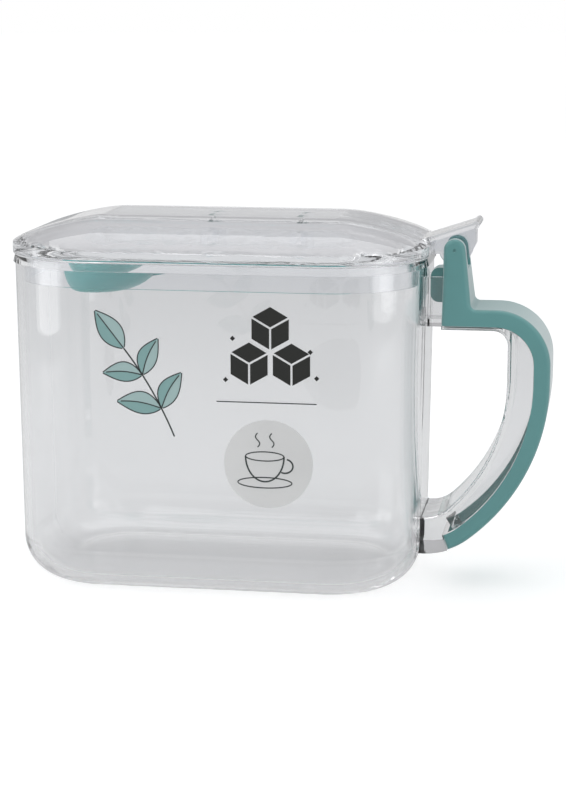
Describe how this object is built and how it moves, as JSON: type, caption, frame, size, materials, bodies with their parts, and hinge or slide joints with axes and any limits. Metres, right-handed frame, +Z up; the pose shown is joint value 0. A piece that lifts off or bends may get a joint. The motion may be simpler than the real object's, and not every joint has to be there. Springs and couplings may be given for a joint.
{
  "type": "sugar pot",
  "caption": "Clear rounded sugar pot with a hinged clear lid, thumb lever, clip-on green handle cover and a measuring spoon held under the lid.",
  "frame": {"origin": "centre of the flat base of the tub", "axes": "+X towards the handle and hinge, +Y away from the printed front, +Z up"},
  "size_m": [0.1546, 0.078, 0.1058],
  "materials": {
    "clear_tub": "clear polished moulded resin",
    "clear_lid": "clear polished moulded resin",
    "green_cover": "satin moulded grey-green plastic",
    "green_spoon": "satin moulded grey-green plastic"
  },
  "bodies": {
    "pot": {"tub": "clear_tub", "handle_cover": "green_cover"},
    "lid": {"lid": "clear_lid"},
    "spoon": {"measuring_spoon": "green_spoon"}
  },
  "joints": [
    {"name": "lid_hinge", "type": "hinge", "parent": "pot", "child": "lid", "pos_m": [0.0667, 0, 0.0968], "axis": [0, 1, 0], "range_deg": [0, 80]},
    {"name": "spoon_release", "type": "slide", "parent": "lid", "child": "spoon", "axis": [0, 0, -1], "range_m": [0, 0.025]}
  ]
}
